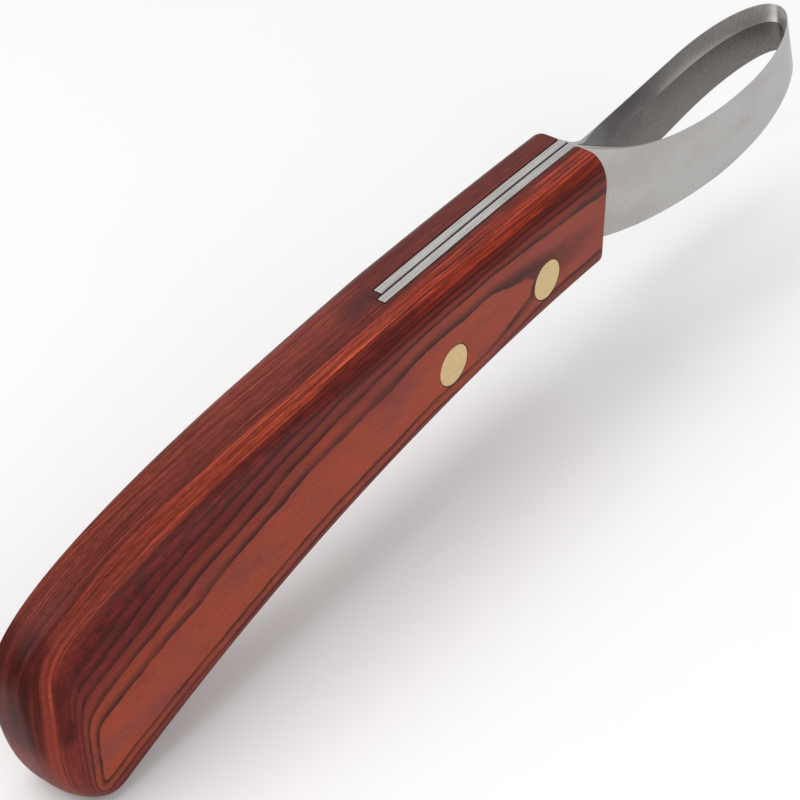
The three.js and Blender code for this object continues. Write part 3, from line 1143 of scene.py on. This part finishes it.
# Painted highlight on the bevel, fading into painted shade towards the neck.
BEVEL_HIGHLIGHT = (srgb(222, 219, 217), srgb(240, 237, 235))
BEVEL_HIGHLIGHT_CLOUD = {"limits": (0.3, 0.7), "scale": (1.6, 1.6, 0.5), "move": (1, 1, 5), "roughness": 0.6}
BEVEL_SHADE = srgb(112, 108, 106)
BEVEL_SHADE_ALONG = (76, 30)


def bevel_highlight_and_shade(steel, tone):
    """The bevel is painted bright towards the tip as a highlight, and painted darker towards the
    neck as shade.
    """
    bevel_light_and_shade = steel.blend(steel.cloud(**BEVEL_HIGHLIGHT_CLOUD), *BEVEL_HIGHLIGHT)
    bevel_light_and_shade = steel.blend(steel.range(steel.along, *BEVEL_SHADE_ALONG), bevel_light_and_shade, BEVEL_SHADE)
    return steel.blend(steel.attribute("bevel"), tone, bevel_light_and_shade)


FILED = {
    "limits": (0.35, 0.65, 0.78, 1.08), "scale": (6.0, 0.1, 0.3), "move": (2, 2, 7),
    "roughness": 0.6,
}
FILED_ALONG = (0.5, -0.5)


def file_marks(steel):
    """The tangs' upper edges are filed along the handle, flush with the wood."""
    in_wood = steel.range(steel.along, *FILED_ALONG)
    return steel.range(in_wood, 0.0, 1.0, 1.0, steel.cloud(**FILED))


def steel_material():
    steel = Steel()
    tone = bevel_highlight_and_shade(steel, shaded_inside(steel, ground_outside_and_highlight(steel)))
    light = steel.product(
        steel.range(steel.lines, *GRIND_LIGHT),
        file_marks(steel),
        steel.range(steel.grit, *STEEL_GRIT_LIGHT),
    )
    rough = steel.range(steel.lines, *GRIND_ROUGHNESS)
    rough = steel.sum("ADD", rough, steel.sum("MULTIPLY", steel.inside, INSIDE_ROUGHER))
    height = steel.sum("SUBTRACT", steel.lines, steel.pits)
    steel.connect(
        Base_Color=steel.shade(tone, light), Metallic=1.0, Roughness=rough,
        Normal=steel.bump(height, **STEEL_BUMP),
    )
    return steel.material


BRASS = (srgb(230, 205, 158), srgb(204, 177, 127))
BRASS_GRIT = {"scale": (6.0, 6.0, 6.0), "detail": 4.0, "roughness": 0.7}
BRASS_GRIT_LIMITS = (0.3, 0.7)
BRASS_ROUGHNESS = (0.3, 0.7, 0.38, 0.55)
BRASS_SPECK = srgb(110, 84, 52)
BRASS_SPECKS = {
    "limits": (0.68, 0.74, 0.0, 0.7), "scale": (2.6, 2.6, 2.6), "move": (4, 4, 4), "detail": 2.0,
}
SCUFFS = {"scale": (2.0, 1.0, 9.0), "detail": 2.0}
BRASS_BUMP = {"strength": 0.08, "distance": 0.0001}


def brass_material():
    """Brass rubbed by use: fine grit, a few dark specks and faint scuffs."""
    brass = Shader("rivet_brass")
    grit = brass.texture(**BRASS_GRIT)
    tone = brass.blend(brass.range(grit, *BRASS_GRIT_LIMITS), *BRASS)
    tone = brass.blend(brass.cloud(**BRASS_SPECKS), tone, BRASS_SPECK)
    brass.connect(
        Base_Color=tone, Metallic=1.0, Roughness=brass.range(grit, *BRASS_ROUGHNESS),
        Normal=brass.bump(brass.texture(**SCUFFS), **BRASS_BUMP),
    )
    return brass.material


# ---- Pieces ----------------------------------------------------------------------------------

# Faces that meet at more degrees than these keep a sharp edge between them.
SHARP_WOOD = 32
SHARP_STEEL = 12
SHARP_BRASS = 35


def handle_wood():
    first = [(x, y - FRONT_EASE, z) for x, y, z in handle_section(0)]
    rings = eased_front() + [first]
    rings += [handle_section(i / SPINE_STEPS) for i in range(1, SPINE_STEPS)]
    rings += [handle_section(1 + sin(i / HEEL_STEPS * pi / 2)) for i in range(HEEL_STEPS + 1)]
    made = made_object("handle_wood", loft(rings, True))
    cut(made, kerf_cutter())
    for centre in RIVET_CENTRES.values():
        cut(made, seat_cutter(centre))
    mark_place(made)
    mark_layers(made)
    finish_piece(made, wood_material(), SHARP_WOOD, "laminated_wood", "handle")


def blade_strip():
    mesh = loft(blade_rings(), False)
    for name, sides in (("bevel", BEVEL_SIDES), ("inside", INNER_SIDES)):
        mark = mesh.faces.layers.float.new(name)
        for i, face in enumerate(mesh.faces):
            face[mark] = float(i % SECTION_SIZE in sides)
    made = made_object("blade_strip", mesh)
    for centre in RIVET_CENTRES.values():
        cut(made, bore_cutter(centre))
    mark_place(made)
    finish_piece(made, steel_material(), SHARP_STEEL, "blade_steel", "blade_loop")


def rivets():
    brass = brass_material()
    for place, centre in RIVET_CENTRES.items():
        for half, shape in (("pin", pin_half), ("socket", socket_half)):
            made = made_object(f"{place}_rivet_{half}", shape(centre))
            mark_place(made)
            finish_piece(made, brass, SHARP_BRASS, "rivet_brass", f"{place}_rivet_{half}_half")


handle_wood()
blade_strip()
rivets()


# ---- Floor, lights and camera ----------------------------------------------------------------

FLOOR_SIZE = 6.0
FLOOR_CELLS = 8
FLOOR_DROP = 0.0002
FLOOR_SPOTS = {"scale": (3, 3, 3)}
FLOOR_LIGHT = srgb(250, 250, 250)
FLOOR_SHADED = srgb(246, 246, 246)
FLOOR_ROUGHNESS = 0.9
FLOOR_SPECULAR = 0.1

# Lamps stand round the view's target. Angles are in degrees, the rest in metres and watts.
LAMPS = {
    "key": {"azimuth": -25, "elevation": 55, "distance": 0.9, "size": 0.7, "power": 4.8},
    "fill": {"azimuth": 80, "elevation": 35, "distance": 1.0, "size": 0.9, "power": 3.2},
    "back": {"azimuth": 200, "elevation": 50, "distance": 1.0, "size": 0.8, "power": 2},
}
WORLD_STRENGTH = 0.42

# The photo's view, with its target and distance in millimetres.
VIEW_AZIMUTH = 36.71
VIEW_ELEVATION = 38.64
VIEW_TARGET = (0, -51.9, -12.7)
VIEW_DISTANCE = 394.75
LENS = 99.78
CLIP_START = 0.01


def direction_to(azimuth, elevation):
    """The way from the object towards a viewer or a lamp, azimuth 0 being on the -Y side."""
    a, e = radians(azimuth), radians(elevation)
    return Vector((sin(a) * cos(e), -cos(a) * cos(e), sin(e)))


def floor():
    mesh = bmesh.new()
    cells = {"x_segments": FLOOR_CELLS, "y_segments": FLOOR_CELLS}
    bmesh.ops.create_grid(mesh, size=FLOOR_SIZE / 2, **cells)
    made = made_object("floor", mesh)
    made.location.z = cad_low.z - FLOOR_DROP
    shader = Shader("pale_floor", on_piece=False)
    tone = shader.blend(shader.texture(**FLOOR_SPOTS), FLOOR_LIGHT, FLOOR_SHADED)
    shader.connect(
        Base_Color=tone, Roughness=FLOOR_ROUGHNESS, Specular_IOR_Level=FLOOR_SPECULAR,
    )
    made.data.materials.append(shader.material)


def aimed(data, azimuth, elevation, distance):
    """An object for a lamp or camera at a distance in metres, aimed at the view's target."""
    made = bpy.data.objects.new(data.name, data)
    way = direction_to(azimuth, elevation)
    made.location = in_frame(*VIEW_TARGET) + way * distance
    made.rotation_euler = way.to_track_quat("Z", "Y").to_euler()
    bpy.context.scene.collection.objects.link(made)
    return made


def lights():
    for name, lamp in LAMPS.items():
        data = bpy.data.lights.new(name, "AREA")
        data.shape = "SQUARE"
        data.size = lamp["size"]
        data.energy = lamp["power"]
        aimed(data, lamp["azimuth"], lamp["elevation"], lamp["distance"])
    world = bpy.data.worlds.new("studio")
    world.use_nodes = True
    background = world.node_tree.nodes["Background"]
    background.inputs["Color"].default_value = (1, 1, 1, 1)
    background.inputs["Strength"].default_value = WORLD_STRENGTH
    bpy.context.scene.world = world
    bpy.context.scene.view_settings.view_transform = "Standard"


def camera():
    data = bpy.data.cameras.new("camera")
    data.lens = LENS
    data.clip_start = CLIP_START
    made = aimed(data, VIEW_AZIMUTH, VIEW_ELEVATION, VIEW_DISTANCE * MM)
    bpy.context.scene.camera = made


floor()
lights()
camera()
